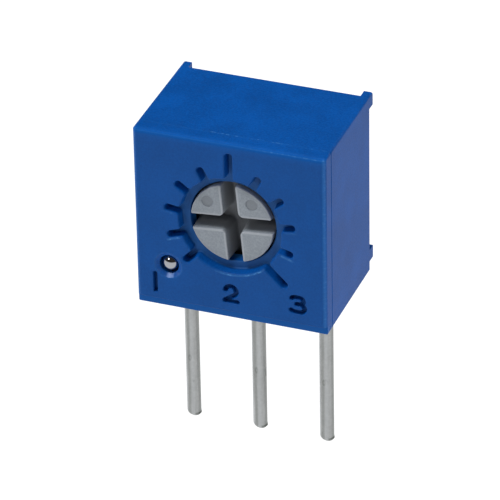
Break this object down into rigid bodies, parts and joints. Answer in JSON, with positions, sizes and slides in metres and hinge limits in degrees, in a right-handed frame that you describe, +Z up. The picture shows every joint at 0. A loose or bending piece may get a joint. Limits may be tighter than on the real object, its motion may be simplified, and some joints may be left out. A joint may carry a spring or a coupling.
{
  "type": "trimmer potentiometer",
  "caption": "Square single-turn trimmer potentiometer with a front cross-slot rotor, a sunk dial of angle marks and in-line pins.",
  "frame": {"origin": "on the middle pin's axis, in the plane of the stand-off rim that rests on the circuit board", "axes": "+X to the right across the dial, from terminal 1 to terminal 3; +Y from the front face to the rear; +Z up, out of the circuit board"},
  "size_m": [0.007, 0.005, 0.0132],
  "materials": {
    "housing_plastic": "fine matt moulding texture",
    "rotor_plastic": "matt",
    "seal_rubber": "matt",
    "contact_alloy": "bright stamped sheet",
    "ceramic": "fired ceramic",
    "resistive_film": "fired film",
    "conductive_film": "printed silver film",
    "solder": "bright solder",
    "tinned_wire": "dull tin plate",
    "polished_steel": "polished",
    "sealing_resin": "poured resin"
  },
  "bodies": {
    "body": {"housing": "housing_plastic", "rotor_seal_ring": "seal_rubber", "element_substrate": "ceramic", "resistance_track": "resistive_film", "collector_track": "conductive_film", "end_pad_1": "conductive_film", "wiper_pad_2": "conductive_film", "end_pad_3": "conductive_film", "solder_joint_1": "solder", "solder_joint_2": "solder", "solder_joint_3": "solder", "terminal_1": "tinned_wire", "terminal_2": "tinned_wire", "terminal_3": "tinned_wire", "vent_ball": "polished_steel", "back_seal": "sealing_resin"},
    "rotor": {"rotor": "rotor_plastic", "wiper_spring": "contact_alloy"}
  },
  "joints": [
    {"name": "rotor_turn", "type": "hinge", "parent": "body", "child": "rotor", "pos_m": [0, -0.00251, 0.00377], "axis": [0, 1, 0], "range_deg": [-130, 140]}
  ]
}
